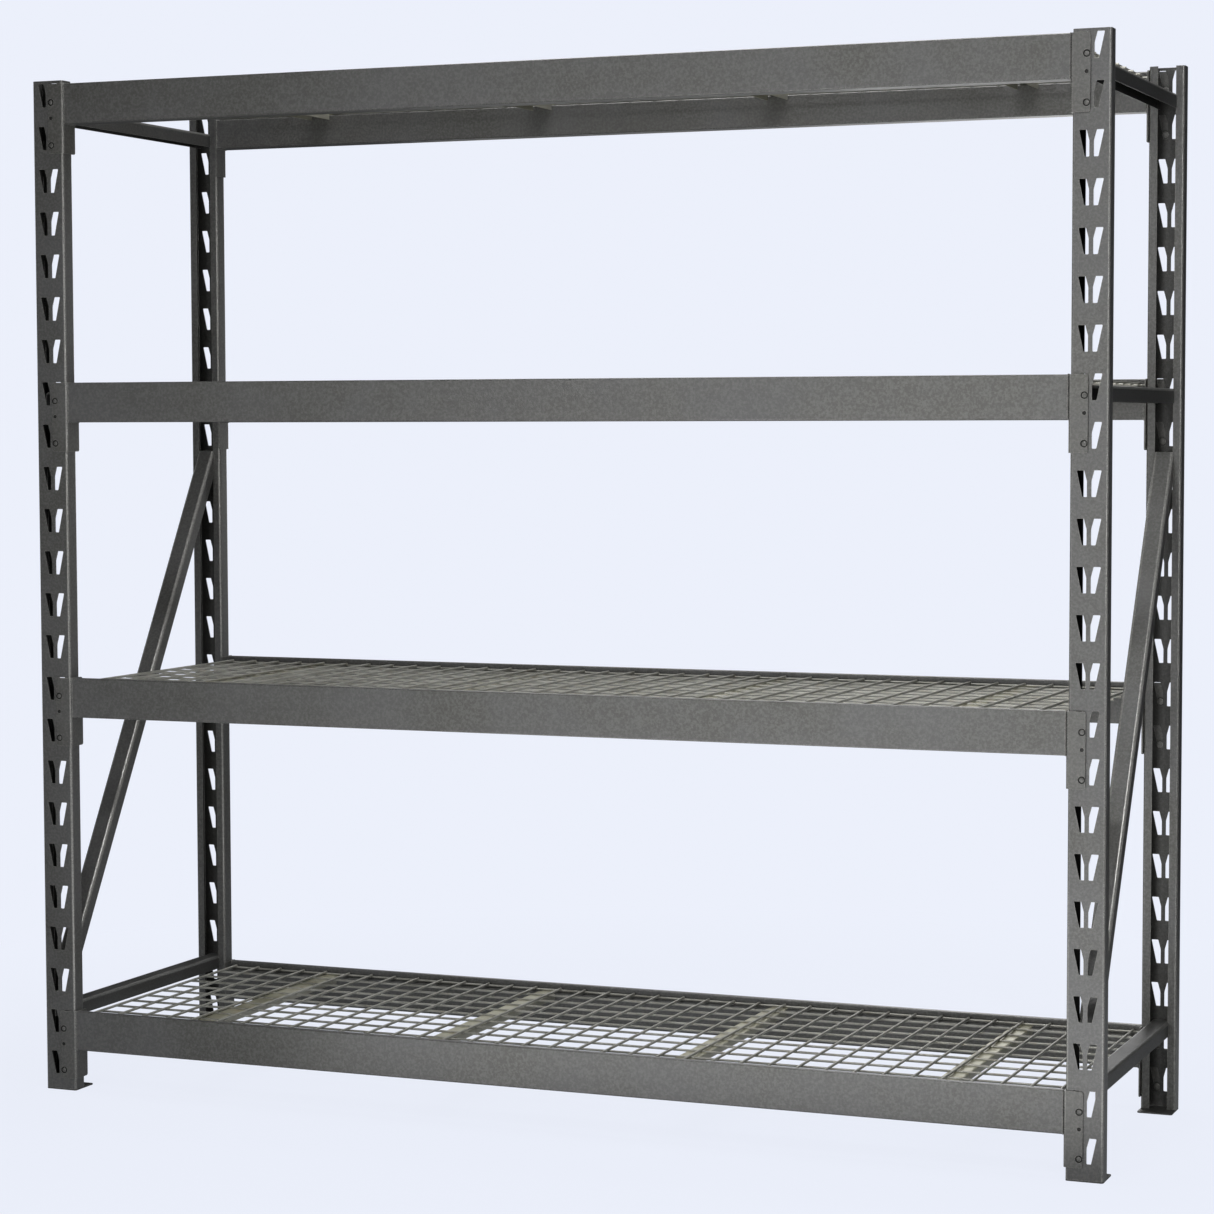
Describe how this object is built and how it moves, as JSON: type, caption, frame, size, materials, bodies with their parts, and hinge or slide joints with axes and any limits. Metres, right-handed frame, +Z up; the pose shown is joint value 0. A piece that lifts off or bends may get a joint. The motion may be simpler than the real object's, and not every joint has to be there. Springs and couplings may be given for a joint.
{
  "type": "boltless steel shelving",
  "caption": "Boltless steel shelving with slotted channel posts, braced end frames, hook-on step beams and wire mesh decks on support channels.",
  "frame": {"origin": "on the floor, at the centre of the footprint", "axes": "+X along the width, -Y towards the front, +Z up"},
  "size_m": [1.966, 0.592, 1.829],
  "materials": {
    "frame_paint": "semi-gloss gunmetal hammertone powder coat",
    "beam_paint": "semi-gloss gunmetal powder coat",
    "foot_plate": "dark powder coat, scuffed",
    "deck_wire": "warm grey coated welded wire",
    "deck_support": "dull yellow zinc plating"
  },
  "bodies": {
    "end_frames": {"brace_left_bottom": "frame_paint", "brace_left_diagonal": "frame_paint", "brace_left_middle": "frame_paint", "brace_left_top": "frame_paint", "brace_right_bottom": "frame_paint", "brace_right_diagonal": "frame_paint", "brace_right_middle": "frame_paint", "brace_right_top": "frame_paint", "foot_back_left": "foot_plate", "foot_back_right": "foot_plate", "foot_front_left": "foot_plate", "foot_front_right": "foot_plate", "post_back_left": "frame_paint", "post_back_right": "frame_paint", "post_front_left": "frame_paint", "post_front_right": "frame_paint"},
    "front_beam_1": {"beam_front_1": "beam_paint", "connector_front_left_1": "beam_paint", "connector_front_right_1": "beam_paint"},
    "back_beam_1": {"beam_back_1": "beam_paint", "connector_back_left_1": "beam_paint", "connector_back_right_1": "beam_paint"},
    "deck_1": {"deck_mesh_1": "deck_wire", "deck_support_1_1": "deck_support", "deck_support_1_2": "deck_support", "deck_support_1_3": "deck_support", "deck_support_1_4": "deck_support"},
    "front_beam_2": {"beam_front_2": "beam_paint", "connector_front_left_2": "beam_paint", "connector_front_right_2": "beam_paint"},
    "back_beam_2": {"beam_back_2": "beam_paint", "connector_back_left_2": "beam_paint", "connector_back_right_2": "beam_paint"},
    "deck_2": {"deck_mesh_2": "deck_wire", "deck_support_2_1": "deck_support", "deck_support_2_2": "deck_support", "deck_support_2_3": "deck_support", "deck_support_2_4": "deck_support"},
    "front_beam_3": {"beam_front_3": "beam_paint", "connector_front_left_3": "beam_paint", "connector_front_right_3": "beam_paint"},
    "back_beam_3": {"beam_back_3": "beam_paint", "connector_back_left_3": "beam_paint", "connector_back_right_3": "beam_paint"},
    "deck_3": {"deck_mesh_3": "deck_wire", "deck_support_3_1": "deck_support", "deck_support_3_2": "deck_support", "deck_support_3_3": "deck_support", "deck_support_3_4": "deck_support"},
    "front_beam_4": {"beam_front_4": "beam_paint", "connector_front_left_4": "beam_paint", "connector_front_right_4": "beam_paint"},
    "back_beam_4": {"beam_back_4": "beam_paint", "connector_back_left_4": "beam_paint", "connector_back_right_4": "beam_paint"},
    "deck_4": {"deck_mesh_4": "deck_wire", "deck_support_4_1": "deck_support", "deck_support_4_2": "deck_support", "deck_support_4_3": "deck_support", "deck_support_4_4": "deck_support"}
  },
  "joints": [
    {"name": "front_beam_1_unhook", "type": "slide", "parent": "end_frames", "child": "front_beam_1", "axis": [0, 0, 1], "range_m": [0, 0.017]},
    {"name": "back_beam_1_unhook", "type": "slide", "parent": "end_frames", "child": "back_beam_1", "axis": [0, 0, 1], "range_m": [0, 0.017]},
    {"name": "deck_1_lift_off", "type": "slide", "parent": "front_beam_1", "child": "deck_1", "axis": [0, 0, 1], "range_m": [0, 0.1]},
    {"name": "front_beam_2_unhook", "type": "slide", "parent": "end_frames", "child": "front_beam_2", "axis": [0, 0, 1], "range_m": [0, 0.017]},
    {"name": "back_beam_2_unhook", "type": "slide", "parent": "end_frames", "child": "back_beam_2", "axis": [0, 0, 1], "range_m": [0, 0.017]},
    {"name": "deck_2_lift_off", "type": "slide", "parent": "front_beam_2", "child": "deck_2", "axis": [0, 0, 1], "range_m": [0, 0.1]},
    {"name": "front_beam_3_unhook", "type": "slide", "parent": "end_frames", "child": "front_beam_3", "axis": [0, 0, 1], "range_m": [0, 0.017]},
    {"name": "back_beam_3_unhook", "type": "slide", "parent": "end_frames", "child": "back_beam_3", "axis": [0, 0, 1], "range_m": [0, 0.017]},
    {"name": "deck_3_lift_off", "type": "slide", "parent": "front_beam_3", "child": "deck_3", "axis": [0, 0, 1], "range_m": [0, 0.1]},
    {"name": "front_beam_4_unhook", "type": "slide", "parent": "end_frames", "child": "front_beam_4", "axis": [0, 0, 1], "range_m": [0, 0.017]},
    {"name": "back_beam_4_unhook", "type": "slide", "parent": "end_frames", "child": "back_beam_4", "axis": [0, 0, 1], "range_m": [0, 0.017]},
    {"name": "deck_4_lift_off", "type": "slide", "parent": "front_beam_4", "child": "deck_4", "axis": [0, 0, 1], "range_m": [0, 0.1]}
  ],
  "couplings": [
    {"joint": "back_beam_1_unhook", "follows": "front_beam_1_unhook", "ratio": 1},
    {"joint": "back_beam_2_unhook", "follows": "front_beam_2_unhook", "ratio": 1},
    {"joint": "back_beam_3_unhook", "follows": "front_beam_3_unhook", "ratio": 1},
    {"joint": "back_beam_4_unhook", "follows": "front_beam_4_unhook", "ratio": 1}
  ]
}
